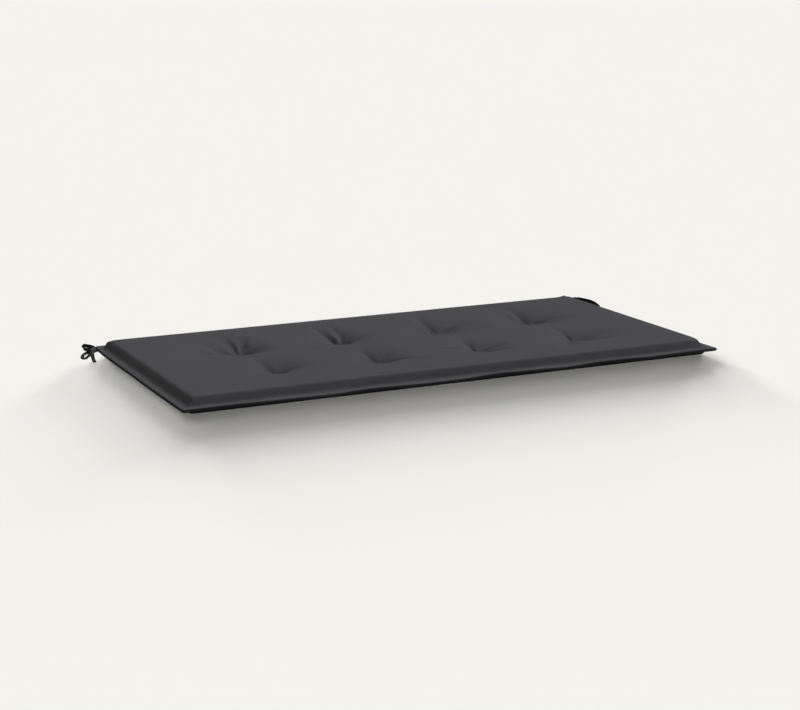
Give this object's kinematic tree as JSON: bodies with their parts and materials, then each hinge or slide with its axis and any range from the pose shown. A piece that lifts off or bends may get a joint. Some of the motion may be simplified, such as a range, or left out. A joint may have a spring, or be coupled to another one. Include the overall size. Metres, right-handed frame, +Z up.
{
  "type": "bench cushion",
  "caption": "Thin rectangular bench seat cushion with a flat sewn border all round, a tufted top and a tied bow of fabric tape at each back corner.",
  "frame": {"origin": "under the middle of the cushion, on the surface that it lies on", "axes": "+X along the bench, +Y to the back of the seat where the ties are, +Z up out of the tufted face"},
  "size_m": [1.0657, 0.5346, 0.03],
  "materials": {
    "cushion_cloth": "plain weave outdoor polyester in dark grey, matt with a faint sheen",
    "tie_cloth": "folded and stitched tape of the same dark grey polyester, matt"
  },
  "bodies": {
    "root": {"cushion": "cushion_cloth", "tie_back_left": "tie_cloth", "tie_back_right": "tie_cloth"}
  },
  "joints": []
}
